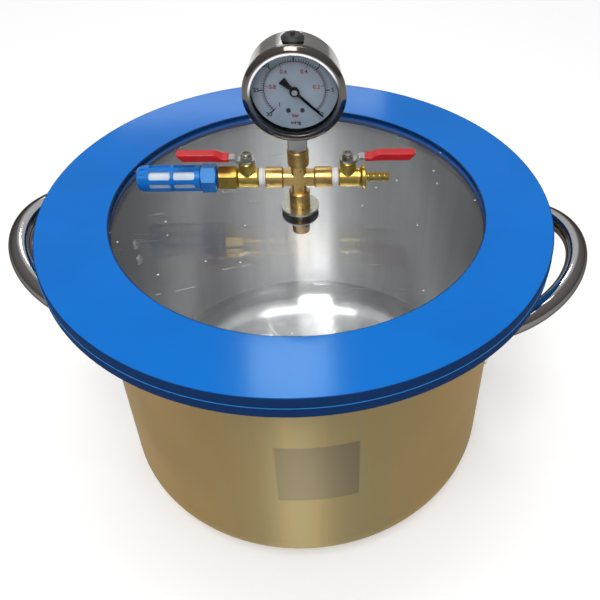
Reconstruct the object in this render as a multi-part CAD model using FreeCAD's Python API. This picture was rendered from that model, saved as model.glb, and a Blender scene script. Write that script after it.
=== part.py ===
import FreeCAD, Part
import math
import os
from FreeCAD import Placement, Rotation, Vector

os.makedirs("parts", exist_ok=True)

# Vacuum chamber, in millimetres. The floor is z = 0 and the pot's axis is z.
# The pipework lies along x, and the gauge faces -y.

# Pot
pot_radius = 156.5
pot_height = 234.0
pot_wall = 1.0
pot_corner = 32.0
rim_roll = 3.0

# Lid and the channel-shaped gasket round it
lid_radius = 185.5
lid_thickness = 12.0
lid_chamfer = 0.6
gasket_bore = 139.0
gasket_lip = 2.5
gasket_lip_round = 0.6
gasket_wall = 4.0
gasket_round = 0.8
gasket_bead = 0.4
gasket_clearance = 0.5

# Tube handles, each held by two riveted ears
handle_turn = -4.7
handle_tube_radius = 8.25
handle_tube_wall = 1.2
handle_bend = 70.0
handle_centre_inset = 7.5
handle_rise = 22.0
handle_drop = 36.5
ear_thickness = 3.0
ear_margin = 9.0
ear_round = 8.0
ear_tilt = 20.0
socket_wall = 2.0
socket_length = 7.0
rivet_side = 44.0
rivet_top_drop = 71.0
rivet_pitch = 17.0
rivet_radius = 2.5
rivet_head_radius = 4.5
rivet_head_height = 2.4
rivet_head_round = 2.16
rivet_clearance = 0.05

# Pipe threads, drawn as plain cylinders
thread_radius = 4.85
thread_clearance = 0.05
thread_engagement = 8.0
bore_radius = 2.5

# Cross
arm_length = 24.0
barrel_radius = 7.75
barrel_length = 13.0
barrel_chamfer = 1.1
hub_width = 10.5
hub_chamfer = 1.6

# Pieces that clamp the lid
nipple_radius = 6.6
nipple_tail = 16.0
lid_hole_clearance = 0.3
washer_radius = 14.2
washer_thickness = 2.0
seal_radius = 13.8
seal_thickness = 1.5
lock_nut_radius = 13.4
lock_nut_end_radius = 8.8
lock_nut_height = 5.6
lock_nut_rim = 1.2
lock_nut_round = 0.7

# Ball valves
tape_length = 5.0
tape_radius = 6.9
tape_start_step = 0.7
tape_end_step = 0.2
tape_crest = 1.75
tape_round = 0.4
valve_radius = 7.25
valve_chamfer = 0.9
spigot_round = 0.4
valve_stem_offset = {"left": 7.8, "right": 6.6}
valve_length = {"left": 15.0, "right": 16.5}
bonnet_radius = 6.0
bonnet_height = 14.0
bonnet_chamfer = 0.6
ball_radius = 4.5
ball_clearance = 0.05
seat_radius = 5.5
seat_depth = 4.9
seat_width = 2.2
stem_radius = 2.3
stem_clearance = 0.05
stem_flats = 3.4
stem_top_radius = 1.9
stem_tip_height = 20.1
stem_tip_chamfer = 0.5
tang_width = 1.5
tang_depth = 1.6
packing_radius = 3.7
packing_height = 2.2
packing_cover = 1.0
lever_gap = 0.4
lever_thickness = 2.0
lever_eye_radius = 5.8
lever_width = 7.0
lever_crank_start = 7.0
lever_crank_rise = 1.8
lever_outer_bend = 1.6
lever_inner_bend = 1.0
lever_tongue_start = 14.5
lever_tongue_width = 5.4
lever_tongue_round = 2.6
lever_length = 44.0
grip_start = 12.2
grip_length = 37.4
grip_cover = 0.5
grip_inner_width = 9.2
grip_inner_height = 3.2
grip_width = 7.8
grip_height = 5.9
grip_swell_start = 16.5
grip_swell_end = 22.0
grip_swell_round = 6.0
grip_slant = 5.0
grip_end_round = 3.0
grip_heel_round = 2.0
grip_round = 0.9
lever_nut_flats = 7.5
lever_nut_height = 4.3
lever_nut_hex_height = 2.6
lever_nut_collar_radius = 3.65
lever_nut_collar_round = 0.6
lever_nut_chamfer = 0.3
lever_nut_turn = 15.0

# Threaded hexagon socket on the left valve, and hose barb on the right
socket_flats = 16.0
socket_hex_length = 14.0
socket_turn = 5.7
hex_chamfer = 1.0
collar_radius = 8.75
collar_length = 3.5
collar_chamfer = 0.8
barb_radius = 3.65
barb_root_radius = 2.9
barb_length = 17.0
barb_count = 4
barb_bore_radius = 1.9
barb_lead = 1.0
barb_rise = 0.4
barb_crest = 0.5

# Silencer
silencer_gap = 0.8
silencer_flats = 18.5
silencer_turn = 45.5
silencer_hex_length = 11.6
cage_radius = 9.4
cage_wall = 1.6
cage_length = 38.6
window_length = 15.2
window_width = 6.3
window_web = 2.1
window_margin = 3.6
window_round = 1.7
window_count = 6
element_clearance = 0.3
element_wall = 2.6
cap_length = 6.0
cap_step = 1.0
cap_notches = 12
cap_notch_width = 1.6
cap_notch_depth = 0.7
cap_notch_start = 0.8
cap_chamfer = 1.0
cap_recess_rim = 3.0
cap_recess_depth = 1.0

# Gauge. Depths are counted forward from the stem's axis.
gauge_height = 50.5
case_radius = 31.5
case_wall = 1.0
case_back = 13.0
case_front = 14.0
case_round = 3.0
bezel_radius = 34.1
bezel_lip_radius = 28.4
bezel_lip = 1.3
bezel_skirt = 2.5
bezel_back_step = 1.2
bezel_back_slope = 2.5
bezel_back_round = 0.8
bezel_front_step = 2.8
bezel_front_slope = 2.2
bezel_side_round = 1.4
bezel_round = 2.4
bezel_lip_round = 0.5
bezel_clearance = 0.05
window_thickness = 2.5
window_radius = 31.0
window_seal_width = 2.2
window_seal_thickness = 1.2
dial_radius = 28.6
dial_thickness = 0.6
dial_depth = 9.0
dial_hole_radius = 2.4
dial_screw_side = 4.7
dial_screw_drop = 14.6
dial_screw_radius = 1.5
dial_screw_height = 0.7
dial_screw_clearance = 0.05
dial_screw_slot = 0.3
dial_screw_turn = 35.0
plug_radius = 7.6
plug_neck_radius = 5.6
plug_neck_length = 4.0
plug_fit = 0.1
plug_sink = 0.4
plug_lift = 0.5
plug_rim = 1.2
plug_height = 3.6
plug_dome = 2.2
plug_round = 0.8
plug_forward = 1.3
plug_nipple_radius = 1.6
plug_nipple_taper = 0.4
plug_nipple_height = 1.8
shank_width = 13.7
socket_neck_radius = 5.65
base_gap = 2.5
base_front = 5.0
riser_depth = 7.0
shank_drop = 3.4
shank_neck = 3.0
shank_chamfer = 0.8
gauge_bore_radius = 1.5
gauge_collar_radius = 5.85
cross_bore_drop = 2.5

# Gauge movement
gear_module = 0.5
pinion_teeth = 12
sector_full_teeth = 60
sector_teeth = 12
gear_backlash = 0.14
gear_thickness = 1.6
gear_addendum = 0.85
gear_dedendum = 1.1
tooth_root_width = 1.5
tooth_tip_width = 0.5
pinion_margin = 0.2
gear_depth = 1.2
arbor_radius = 1.0
arbor_clearance = 0.05
arbor_head_radius = 1.9
arbor_head_height = 1.1
arbor_head_rise = 0.3
arbor_dimple_radius = 0.6
arbor_dimple_depth = 0.5
plate_thickness = 1.2
plate_spacing = 10.2
plate_round = 2.5
plate_left = 6.0
plate_right = 7.0
plate_half_height = 7.0
plate_right_rise = 1.0
plate_foot_round = 1.0
screw_cover = 3.0
post_radius = 1.8
needle_length = 26.0
needle_tail = 11.5
needle_rest_angle = -45.0
needle_depth = 11.2
needle_thickness = 0.6
needle_hub_radius = 3.3
needle_hub_height = 1.6
needle_hub_chamfer = 0.4
needle_tail_width = 5.7
needle_tail_round = 0.3
needle_neck = 3.0
needle_neck_width = 2.0
needle_middle = 15.0
needle_middle_width = 1.6
needle_tip_width = 0.6
tail_pin_arm = 6.0
tail_pin_radius = 0.7
tail_width = 3.0
tail_round = 1.3
sector_hub_radius = 2.6
sector_heel = 2.2
pin_rise = 0.6
link_width = 2.4
link_thickness = 0.8
link_gap = 0.2
tube_bend = 23.0
tube_width = 7.0
tube_height = 3.2
tube_wall = 0.5
tube_gap = 0.3
tube_tip_width = 4.4
tube_tip_set = 3.0
tube_tip_overlap = 0.5
tip_pin_set = 1.5
tube_start_angle = 264.0
tube_tip_angle = -50.0
riser_width = 13.0
riser_gap = 0.4
riser_cover = 1.0

hex_slope = 0.5
full_round = 0.95

X, Y, Z = Vector(1, 0, 0), Vector(0, 1, 0), Vector(0, 0, 1)
ORIGIN = Vector(0, 0, 0)

# Heights and places that follow from the sizes above
lid_bottom = pot_height + gasket_lip
lid_top = lid_bottom + lid_thickness
gasket_top = lid_top + gasket_lip
gasket_radius = lid_radius + gasket_clearance + gasket_wall
cross_z = lid_top + washer_thickness + arm_length
gauge_z = cross_z + arm_length + gauge_height
port_radius = thread_radius + thread_clearance
ear_radius = pot_radius + ear_thickness
valve_start = arm_length + tape_length
valve_stem_places = {side: valve_start + offset for side, offset in valve_stem_offset.items()}
valve_ends = {side: valve_start + length for side, length in valve_length.items()}
lever_bottom = bonnet_height + lever_gap
lever_top = lever_bottom + lever_thickness
dial_back = dial_depth - dial_thickness
front_plate_depth = dial_back - plate_thickness
back_plate_depth = front_plate_depth - plate_spacing - plate_thickness
grip_low = lever_bottom + lever_crank_rise - grip_cover
gear_distance = gear_module * (sector_full_teeth + pinion_teeth) / 2


def rounded(corners):
    """Closed wire in the XY plane through (x, y) or (x, y, radius) corners."""
    count = len(corners)
    points = [Vector(c[0], c[1], 0) for c in corners]
    ends, arcs = [], []
    for i, corner in enumerate(corners):
        here = points[i]
        before = (points[i - 1] - here).normalize()
        after = (points[(i + 1) % count] - here).normalize()
        radius = corner[2] if len(corner) > 2 else 0
        if radius == 0:
            ends.append((here, here))
            arcs.append(None)
            continue
        half = before.getAngle(after) / 2
        cut = radius / math.tan(half)
        start, end = here + before * cut, here + after * cut
        middle = here + (before + after).normalize() * (radius / math.sin(half) - radius)
        ends.append((start, end))
        arcs.append(Part.Arc(start, middle, end).toShape())
    edges = []
    for i in range(count):
        if arcs[i]:
            edges.append(arcs[i])
        start, end = ends[i][1], ends[(i + 1) % count][0]
        if start.distanceToPoint(end) > 1e-6:
            edges.append(Part.makeLine(start, end))
    return Part.Wire(edges)


def prism(corners, height, bottom=0.0):
    """Outline in the XY plane, raised from z = bottom."""
    face = Part.Face(rounded(corners))
    return face.extrude(Z * height).translated(Z * bottom)


def turned(corners):
    """Profile of (radius, height) corners, turned about the z axis."""
    face = Part.Face(rounded(corners))
    face.rotate(ORIGIN, X, 90)
    return face.revolve(ORIGIN, Z, 360)


def rod(radius, bottom, top, centre=(0, 0)):
    """Cylinder along z from bottom to top."""
    return Part.makeCylinder(radius, top - bottom, Vector(centre[0], centre[1], bottom))


def tube(outer, inner, bottom, top):
    return rod(outer, bottom, top).cut(rod(inner, bottom - 1, top + 1))


def slab(x, y, z):
    """Box from three (low, high) pairs."""
    sizes = [high - low for low, high in (x, y, z)]
    return Part.makeBox(*sizes, Vector(x[0], y[0], z[0]))


def hexagon(across_flats, bottom, top, chamfer):
    """Hexagonal bar along z with its corners turned off at both ends."""
    corner = across_flats / math.sqrt(3)
    points = [(corner * math.cos(math.radians(60 * i)), corner * math.sin(math.radians(60 * i)))
              for i in range(6)]
    bar = prism(points, top - bottom, bottom)
    flat = across_flats / 2
    reach = corner - flat + chamfer
    turning = turned([(0, bottom), (corner - reach, bottom), (corner, bottom + reach * hex_slope),
                      (corner, top - reach * hex_slope), (corner - reach, top), (0, top)])
    return bar.common(turning)


def one(shape):
    """The shape with the seams between its joined faces removed."""
    return shape.removeSplitter()


def along(shape, direction, base=ORIGIN):
    """The shape with its z axis laid along direction from base."""
    return shape.transformed(Placement(base, Rotation(Z, direction)).toMatrix())


def around(shape, count):
    """Copies of the shape evenly spaced about the z axis."""
    copies = [shape.rotated(ORIGIN, Z, 360 / count * i) for i in range(count)]
    return copies[0].fuse(copies[1:])


# Pot, lid and gasket


def rivet_angle():
    """Angle about the pot's axis from the handle's middle to its rivets."""
    return math.degrees(math.asin(rivet_side / pot_radius))


def rivet_places():
    """(angle, height) of the two rivets in each ear, on both sides of a handle."""
    top = pot_height - rivet_top_drop
    return [(side * rivet_angle(), z) for side in (-1, 1) for z in (top, top - rivet_pitch)]


def radial_rods(radius, start, end, turn):
    rods = [along(rod(radius, start, end), X, Z * z).rotated(ORIGIN, Z, angle + turn)
            for angle, z in rivet_places()]
    return Part.makeCompound(rods)


def make_pot():
    inner = pot_radius - pot_wall
    outer_roll = inner + 2 * rim_roll
    small = rim_roll - pot_wall
    shell = turned([
        (0, 0), (pot_radius, 0, pot_corner),
        (pot_radius, pot_height - pot_wall, small),
        (outer_roll - pot_wall, pot_height - pot_wall, small),
        (outer_roll - pot_wall, pot_height - 2 * rim_roll + pot_wall, small),
        (inner + rim_roll, pot_height - 2 * rim_roll + pot_wall),
        (inner + rim_roll, pot_height - 2 * rim_roll),
        (outer_roll, pot_height - 2 * rim_roll, rim_roll),
        (outer_roll, pot_height, rim_roll), (inner, pot_height, rim_roll),
        (inner, pot_wall, pot_corner - pot_wall), (0, pot_wall)])
    for turn in (handle_turn, handle_turn + 180):
        shell = shell.cut(radial_rods(rivet_radius + rivet_clearance, inner - 5, pot_radius + 5, turn))
    return shell


def make_gasket():
    middle = (pot_height + gasket_top) / 2
    channel = lid_radius + gasket_clearance
    return turned([
        (gasket_bore, pot_height, gasket_lip_round), (gasket_radius, pot_height, gasket_round),
        (gasket_radius, middle - gasket_bead), (gasket_radius + gasket_bead, middle),
        (gasket_radius, middle + gasket_bead), (gasket_radius, gasket_top, gasket_round),
        (gasket_bore, gasket_top, gasket_lip_round), (gasket_bore, lid_top),
        (channel, lid_top), (channel, lid_bottom), (gasket_bore, lid_bottom)])


def make_lid():
    disc = rod(lid_radius, lid_bottom, lid_top)
    rims = [edge for edge in disc.Edges if edge.Curve.TypeId == "Part::GeomCircle"]
    disc = disc.makeChamfer(lid_chamfer, rims)
    return disc.cut(rod(nipple_radius + lid_hole_clearance, lid_bottom - 1, lid_top + 1))


# Handles


def handle_frame():
    """Centre, outward direction and normal of the plane that a handle's loop lies in."""
    rise = math.radians(handle_rise)
    outward = Vector(math.cos(rise), 0, math.sin(rise))
    normal = Vector(-math.sin(rise), 0, math.cos(rise))
    wall_point = Vector(pot_radius, 0, pot_height - handle_drop)
    centre = wall_point - outward * (handle_centre_inset / math.cos(rise))
    return centre, outward, normal


def leg_end():
    """Where the axis of a handle's leg, on the +y side, meets the ear."""
    centre, outward, _ = handle_frame()
    reach = math.sqrt(ear_radius ** 2 - handle_bend ** 2)
    return centre + Y * handle_bend + outward * ((reach - centre.x) / outward.x)


def make_handle():
    centre, outward, normal = handle_frame()
    start = centre - Y * handle_bend
    ring = Part.Face(Part.Wire(Part.makeCircle(handle_tube_radius, start, outward)))
    ring = ring.cut(Part.Face(Part.Wire(Part.makeCircle(
        handle_tube_radius - handle_tube_wall, start, outward))))
    bend = ring.revolve(centre, normal, 180)
    leg = ring.extrude(outward * -4 * handle_tube_radius)
    loop = bend.fuse([leg, leg.translated(Y * 2 * handle_bend)])
    return one(loop.cut(rod(ear_radius, 0, pot_height)))


def make_ear():
    """The ear on the +y side: a plate on the pot's wall with a socket for the tube."""
    _, outward, _ = handle_frame()
    end = leg_end()
    middle = Rotation(Z, ear_tilt)
    sideways = middle.multVec(Y)
    rivet = Vector(pot_radius * math.cos(math.radians(rivet_angle())), rivet_side, 0)
    near, far = rivet.dot(sideways), end.dot(sideways)
    reach = handle_tube_radius + 2 * socket_wall
    low = pot_height - rivet_top_drop - rivet_pitch - ear_margin
    high = end.z + reach
    plate = prism([
        (near - ear_margin, low, ear_round), (near + ear_margin, low, ear_round),
        (far + reach, end.z - reach, ear_round), (far + reach, high, ear_round),
        (far - reach, high, ear_round),
        (near - ear_margin, low + rivet_pitch + 2 * ear_margin, ear_round)], 2 * ear_radius)
    upright = Placement(ORIGIN, Rotation(Vector(0, 1, 0), Vector(0, 0, 1), Vector(1, 0, 0), "ZXY"))
    plate = plate.transformed(upright.toMatrix()).rotated(ORIGIN, Z, ear_tilt)
    plate = plate.common(tube(ear_radius, pot_radius, 0, pot_height))
    collar = along(rod(handle_tube_radius + socket_wall, -4 * handle_tube_radius, socket_length),
                   outward, end).cut(rod(pot_radius + ear_thickness / 2, 0, pot_height))
    ear = plate.fuse(collar)
    bore = along(rod(handle_tube_radius, -4 * handle_tube_radius, socket_length + 1), outward, end)
    ear = ear.cut(bore.cut(rod(ear_radius, 0, pot_height)))
    return one(ear.cut(radial_rods(rivet_radius + rivet_clearance, pot_radius - 5, ear_radius + 5, 0)))


def rivet_head(start, direction):
    sunk = -ear_thickness / 2
    dome = turned([(0, sunk), (rivet_head_radius, sunk),
                   (rivet_head_radius, rivet_head_height, rivet_head_round),
                   (0, rivet_head_height)])
    return along(dome, X * direction, X * start)


def make_rivets():
    """The four rivets of one handle."""
    inner = pot_radius - pot_wall
    reach = 2 * rivet_head_radius
    inside = rivet_head(inner, -1).common(rod(inner, -reach, reach))
    outside = rivet_head(ear_radius, 1).cut(rod(ear_radius, -reach, reach))
    half_head = rivet_head_height / 2
    shank = along(rod(rivet_radius, inner - half_head, ear_radius + half_head), X)
    rivet = one(shank.fuse([inside, outside]))
    return [rivet.translated(Z * z).rotated(ORIGIN, Z, angle) for angle, z in rivet_places()]


# Lid fittings


def make_nipple():
    bottom = lid_bottom - nipple_tail
    top = lid_top + washer_thickness
    shape = rod(nipple_radius, bottom, top).fuse(rod(thread_radius, top, top + thread_engagement))
    return shape.cut(rod(bore_radius, bottom - 1, top + thread_engagement + 1))


def make_lock_nut():
    top = lid_bottom - seal_thickness
    bottom = top - lock_nut_height
    bore = nipple_radius + thread_clearance
    return turned([(bore, bottom), (lock_nut_end_radius, bottom, lock_nut_round),
                   (lock_nut_radius, top - lock_nut_rim, lock_nut_round), (lock_nut_radius, top),
                   (bore, top)])


def make_cross():
    """Forged body with four barrels, drawn about its own centre."""
    half = hub_width / 2
    inner = arm_length - barrel_length
    bar = prism([(-half, -half), (half, -half), (half, half), (-half, half)], 2 * inner + 2,
                -inner - 1)
    edges = [e for e in bar.Edges if abs(e.tangentAt(e.FirstParameter).z) > 0.99]
    bar = bar.makeChamfer(hub_chamfer, edges)
    barrel = turned([(0, inner), (barrel_radius - barrel_chamfer, inner),
                     (barrel_radius, inner + barrel_chamfer),
                     (barrel_radius, arm_length - barrel_chamfer / 2),
                     (barrel_radius - barrel_chamfer / 2, arm_length), (0, arm_length)])
    pieces = [bar, along(bar, X)] + [along(barrel, d) for d in (X, -X, Z, -Z)]
    body = pieces[0].fuse(pieces[1:])
    port = rod(port_radius, arm_length - thread_engagement - 1, arm_length + 1)
    passage = rod(bore_radius, 0, arm_length)
    cuts = [along(s, d) for s in (port, passage) for d in (X, -X, Z, -Z)]
    return one(body.cut(cuts))


# Valves, drawn outward along +x from the cross's centre


def make_tape():
    inner = port_radius
    return turned([(inner, arm_length), (tape_radius - tape_start_step, arm_length, tape_round),
                   (tape_radius, arm_length + tape_crest, tape_round),
                   (tape_radius - tape_end_step, valve_start - tape_round, tape_round),
                   (inner, valve_start)])


def make_valve_body(stem, end):
    spigot_start = arm_length - thread_engagement
    body = turned([(0, spigot_start), (thread_radius, spigot_start, spigot_round),
                   (thread_radius, valve_start), (valve_radius - valve_chamfer, valve_start),
                   (valve_radius, valve_start + valve_chamfer), (valve_radius, end - valve_chamfer),
                   (valve_radius - valve_chamfer, end), (0, end)])
    body = along(body, X)
    bonnet = turned([(0, 0), (bonnet_radius, 0), (bonnet_radius, bonnet_height - bonnet_chamfer),
                     (bonnet_radius - bonnet_chamfer, bonnet_height), (0, bonnet_height)])
    body = body.fuse(bonnet.translated(X * stem))
    passage = along(rod(bore_radius, spigot_start - 1, stem), X)
    chamber = along(rod(seat_radius, stem - seat_depth, end + 1), X)
    stem_hole = rod(stem_radius + stem_clearance, 0, bonnet_height + 1, (stem, 0))
    packing = rod(packing_radius, *packing_heights(), (stem, 0))
    return one(body.cut([passage, chamber, stem_hole, packing]))


def packing_heights():
    top = bonnet_height - packing_cover
    return top - packing_height, top


def make_packing(stem):
    ring = tube(packing_radius - stem_clearance, stem_radius + stem_clearance, *packing_heights())
    return ring.translated(X * stem)


def make_ball(stem):
    ball = Part.makeSphere(ball_radius, X * stem)
    slot = slab((stem - tang_width / 2, stem + tang_width / 2), (-ball_radius, ball_radius),
                (ball_radius - tang_depth, ball_radius + 1))
    return ball.cut([along(rod(bore_radius, 0, 2 * stem), X), slot])


def make_seats(stem):
    """The two seat rings, hollowed to the ball's form."""
    hollow = Part.makeSphere(ball_radius + ball_clearance, X * stem)
    ring = tube(seat_radius - thread_clearance, bore_radius, seat_depth - seat_width, seat_depth)
    return [along(ring, d, X * stem).cut(hollow) for d in (X, -X)]


def make_stem(stem):
    low = ball_radius - tang_depth + stem_clearance
    tang = slab((-tang_width / 2 + stem_clearance, tang_width / 2 - stem_clearance),
                (-stem_radius, stem_radius), (low, ball_radius + 1))
    tang = tang.common(rod(stem_radius, 0, ball_radius + 2))
    shaft = rod(stem_radius, ball_radius + stem_clearance, lever_top)
    flats = stem_flats / 2
    for side in (-1, 1):
        outer = sorted((side * flats, side * 2 * stem_radius))
        shaft = shaft.cut(slab((-stem_radius, stem_radius), outer,
                               (bonnet_height + lever_gap / 2, lever_top + 1)))
    tip = turned([(0, lever_top), (stem_top_radius, lever_top),
                  (stem_top_radius, stem_tip_height - stem_tip_chamfer),
                  (stem_top_radius - stem_tip_chamfer, stem_tip_height), (0, stem_tip_height)])
    return one(tang.fuse([shaft, tip])).translated(X * stem)


def lever_strip():
    """Outline of the lever seen from above, with the narrower tongue inside the grip."""
    half, tongue = lever_width / 2, lever_tongue_width / 2
    narrow = lever_tongue_start + half - tongue
    strip = prism([(0, -half), (lever_tongue_start, -half), (narrow, -tongue),
                   (lever_length, -tongue, lever_tongue_round), (lever_length, tongue, lever_tongue_round),
                   (narrow, tongue), (lever_tongue_start, half), (0, half)], 2 * lever_top)
    return strip.fuse(rod(lever_eye_radius, 0, 2 * lever_top))


def upright(corners, width):
    """Outline drawn in x and z, made width wide about y = 0."""
    shape = prism(corners, width, -width / 2)
    return shape.rotated(ORIGIN, X, 90)


def make_lever(stem):
    bend = lever_thickness * math.tan(math.radians(22.5))
    run = lever_crank_start + lever_crank_rise
    side = upright([
        (-lever_eye_radius, lever_bottom), (lever_crank_start, lever_bottom, lever_outer_bend),
        (run, lever_bottom + lever_crank_rise, lever_inner_bend),
        (lever_length, lever_bottom + lever_crank_rise), (lever_length, lever_top + lever_crank_rise),
        (run - bend, lever_top + lever_crank_rise, lever_outer_bend),
        (lever_crank_start - bend, lever_top, lever_inner_bend), (-lever_eye_radius, lever_top)],
        2 * lever_eye_radius)
    plate = side.common(lever_strip())
    hole = rod(stem_radius + stem_clearance, 0, lever_top + 1)
    width = stem_flats / 2 + stem_clearance
    hole = hole.common(slab((-stem_radius - 1, stem_radius + 1), (-width, width), (0, lever_top + 1)))
    return one(plate.cut(hole)).translated(X * stem)


def make_grip(stem, lever):
    """Dipped sleeve: thin where it starts, thicker and narrower along the hand's part."""
    end = grip_start + grip_length
    top = grip_low + grip_height
    side = upright([
        (grip_start, grip_low), (end - grip_slant, grip_low, grip_heel_round),
        (end, top, grip_round), (grip_swell_end, top, grip_swell_round),
        (grip_swell_start, grip_low + grip_inner_height, grip_swell_round),
        (grip_start, grip_low + grip_inner_height)], 2 * grip_inner_width)
    wide, narrow = grip_inner_width / 2, grip_width / 2
    above = [(grip_start, -wide, grip_round), (grip_swell_start, -wide, grip_swell_round),
             (grip_swell_end, -narrow, grip_swell_round), (end, -narrow, grip_end_round)]
    plan = prism(above + [(x, -y, radius) for x, y, radius in reversed(above)], 2 * top)
    body = side.common(plan)
    body = body.makeFillet(grip_round, body.Edges).translated(X * stem)
    return body.cut(lever)


def make_lever_nut(stem):
    """Locking nut: a hexagon with a round collar above it."""
    top = lever_top + lever_nut_height
    nut = hexagon(lever_nut_flats, lever_top, lever_top + lever_nut_hex_height, lever_nut_chamfer)
    collar = turned([(0, lever_top), (lever_nut_collar_radius, lever_top),
                     (lever_nut_collar_radius, top, lever_nut_collar_round), (0, top)])
    nut = one(nut.rotated(ORIGIN, Z, lever_nut_turn).fuse(collar))
    hole = rod(stem_top_radius + thread_clearance, lever_top - 1, top + 1)
    return nut.cut(hole).translated(X * stem)


def make_valve_socket(stem, end):
    """Hexagon end piece with a female thread, screwed into the valve's body."""
    inner = stem + seat_depth
    far = end + socket_hex_length
    spigot = rod(seat_radius - thread_clearance, inner, end)
    shape = hexagon(socket_flats, end, far, hex_chamfer).rotated(ORIGIN, Z, socket_turn)
    shape = shape.fuse([spigot])
    shape = shape.cut([rod(bore_radius, inner - 1, far + 1),
                       rod(port_radius, far - thread_engagement - 1, far + 1)])
    return along(one(shape), X)


def make_hose_barb(stem, end):
    inner = stem + seat_depth
    start = end + collar_length
    pitch = (barb_length - barb_lead) / barb_count
    collar_edge = collar_radius - collar_chamfer
    profile = [(barb_bore_radius, inner), (seat_radius - thread_clearance, inner),
               (seat_radius - thread_clearance, end), (collar_edge, end),
               (collar_radius, end + collar_chamfer), (collar_radius, start - collar_chamfer),
               (collar_edge, start), (barb_root_radius, start), (barb_root_radius, start + barb_lead)]
    for i in range(barb_count):
        ridge = start + barb_lead + pitch * i
        crest = ridge + barb_rise
        profile += [(barb_radius, crest), (barb_radius, crest + barb_crest),
                    (barb_root_radius, ridge + pitch)]
    profile += [(barb_bore_radius, start + barb_length)]
    return along(turned(profile), X)


# Silencer, drawn outward along +x


def silencer_start():
    return valve_ends["left"] + socket_hex_length + silencer_gap


def on_silencer(shape):
    """The shape turned about its own axis and laid along x."""
    return along(shape.rotated(ORIGIN, Z, silencer_turn), X)


def cage_end():
    return silencer_start() + silencer_hex_length + cage_length


def window_slot(start):
    """Rounded slot through the cage's wall, centred on the +y side."""
    low, high = start, start + window_length
    half = window_width / 2
    corners = [(low, -half, window_round), (high, -half, window_round),
               (high, half, window_round), (low, half, window_round)]
    slot = prism(corners, cage_radius + 2, 0)
    turn = Placement(ORIGIN, Rotation(Vector(0, 0, 1), Vector(1, 0, 0), Vector(0, 1, 0), "ZXY"))
    return slot.transformed(turn.toMatrix())


def make_silencer_body():
    start = silencer_start()
    hex_end = start + silencer_hex_length
    inner = cage_radius - cage_wall
    shape = hexagon(silencer_flats, start, hex_end, hex_chamfer)
    shape = shape.fuse([rod(thread_radius, start - silencer_gap - thread_engagement, start),
                        rod(cage_radius, hex_end, cage_end())])
    shape = shape.cut([rod(inner, hex_end, cage_end() + 1),
                       rod(bore_radius, start - silencer_gap - thread_engagement - 1, hex_end + 1)])
    first = hex_end + window_margin
    for row in (first, first + window_length + window_web):
        shape = shape.cut(around(window_slot(row), window_count))
    return on_silencer(one(shape))


def make_silencer_element():
    outer = cage_radius - cage_wall - element_clearance
    start = silencer_start() + silencer_hex_length
    return along(tube(outer, outer - element_wall, start, cage_end()), X)


def make_silencer_cap():
    start = cage_end()
    end = start + cap_length
    step = (start + end) / 2
    outer = cage_radius - cap_step
    floor = end - cap_recess_depth
    cap = turned([(0, start), (cage_radius, start), (cage_radius, step), (outer, step),
                  (outer, end - cap_chamfer), (outer - cap_chamfer, end),
                  (cage_radius - cap_recess_rim, end), (cage_radius - cap_recess_rim, floor),
                  (0, floor)])
    notch = slab((cage_radius - cap_notch_depth, cage_radius + 1),
                 (-cap_notch_width / 2, cap_notch_width / 2), (start + cap_notch_start, step + 1))
    return on_silencer(one(cap.cut(around(notch, cap_notches))))


# Gauge, drawn with x to the right, y up and z towards the viewer


def on_gauge(shape):
    turn = Placement(Z * gauge_z, Rotation(Z, -Y))
    return shape.transformed(turn.toMatrix())


def upward(shape):
    """A shape drawn along z, turned to lie along the gauge's y axis."""
    return shape.rotated(ORIGIN, X, -90)


def window_back():
    return case_front + window_seal_thickness


def window_front():
    return window_back() + window_thickness


def make_case():
    inner = case_radius - case_wall
    cup = turned([(0, -case_back), (case_radius, -case_back, case_round), (case_radius, case_front),
                  (inner, case_front), (inner, -case_back + case_wall, case_round - case_wall),
                  (0, -case_back + case_wall)])
    neck = upward(rod(socket_neck_radius + bezel_clearance, -case_radius - 5, -case_radius / 2))
    filler = upward(rod(plug_neck_radius, case_radius / 2, case_radius + 5))
    return cup.cut([neck, filler.translated(Z * plug_forward)])


def make_bezel():
    front = window_front() + bezel_lip
    inner = case_radius + bezel_clearance
    back = case_front - bezel_skirt
    return turned([
        (inner, back), (bezel_radius - bezel_back_step, back, bezel_back_round),
        (bezel_radius, back + bezel_back_slope, bezel_side_round),
        (bezel_radius, front - bezel_front_slope, bezel_side_round),
        (bezel_radius - bezel_front_step, front, bezel_round),
        (bezel_lip_radius, front, bezel_lip_round), (bezel_lip_radius, window_front()),
        (inner, window_front())])


def make_window():
    return rod(window_radius, window_back(), window_front())


def make_window_seal():
    return tube(window_radius, window_radius - window_seal_width, case_front, window_back())


def dial_screw_places():
    return [(side * dial_screw_side, -dial_screw_drop) for side in (-1, 1)]


def dial_screw_holes():
    radius = dial_screw_radius / 2 + dial_screw_clearance
    return [rod(radius, 0, dial_depth + 1, place) for place in dial_screw_places()]


def make_dial():
    disc = tube(dial_radius, dial_hole_radius, dial_back, dial_depth)
    return disc.cut(dial_screw_holes())


def make_dial_screws():
    """Cheese-head screws with a cross slot, through the dial into the front plate."""
    screws = []
    for place in dial_screw_places():
        head = rod(dial_screw_radius, dial_depth, dial_depth + dial_screw_height, place)
        shank = rod(dial_screw_radius / 2, front_plate_depth, dial_depth, place)
        slot = slab((-dial_screw_slot / 2, dial_screw_slot / 2), (-dial_screw_radius, dial_screw_radius),
                    (dial_depth + dial_screw_height / 2, dial_depth + 2 * dial_screw_height))
        slot = slot.rotated(ORIGIN, Z, dial_screw_turn).translated(Vector(*place, 0))
        screws.append(one(head.fuse(shank)).cut(slot))
    return screws


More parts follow.
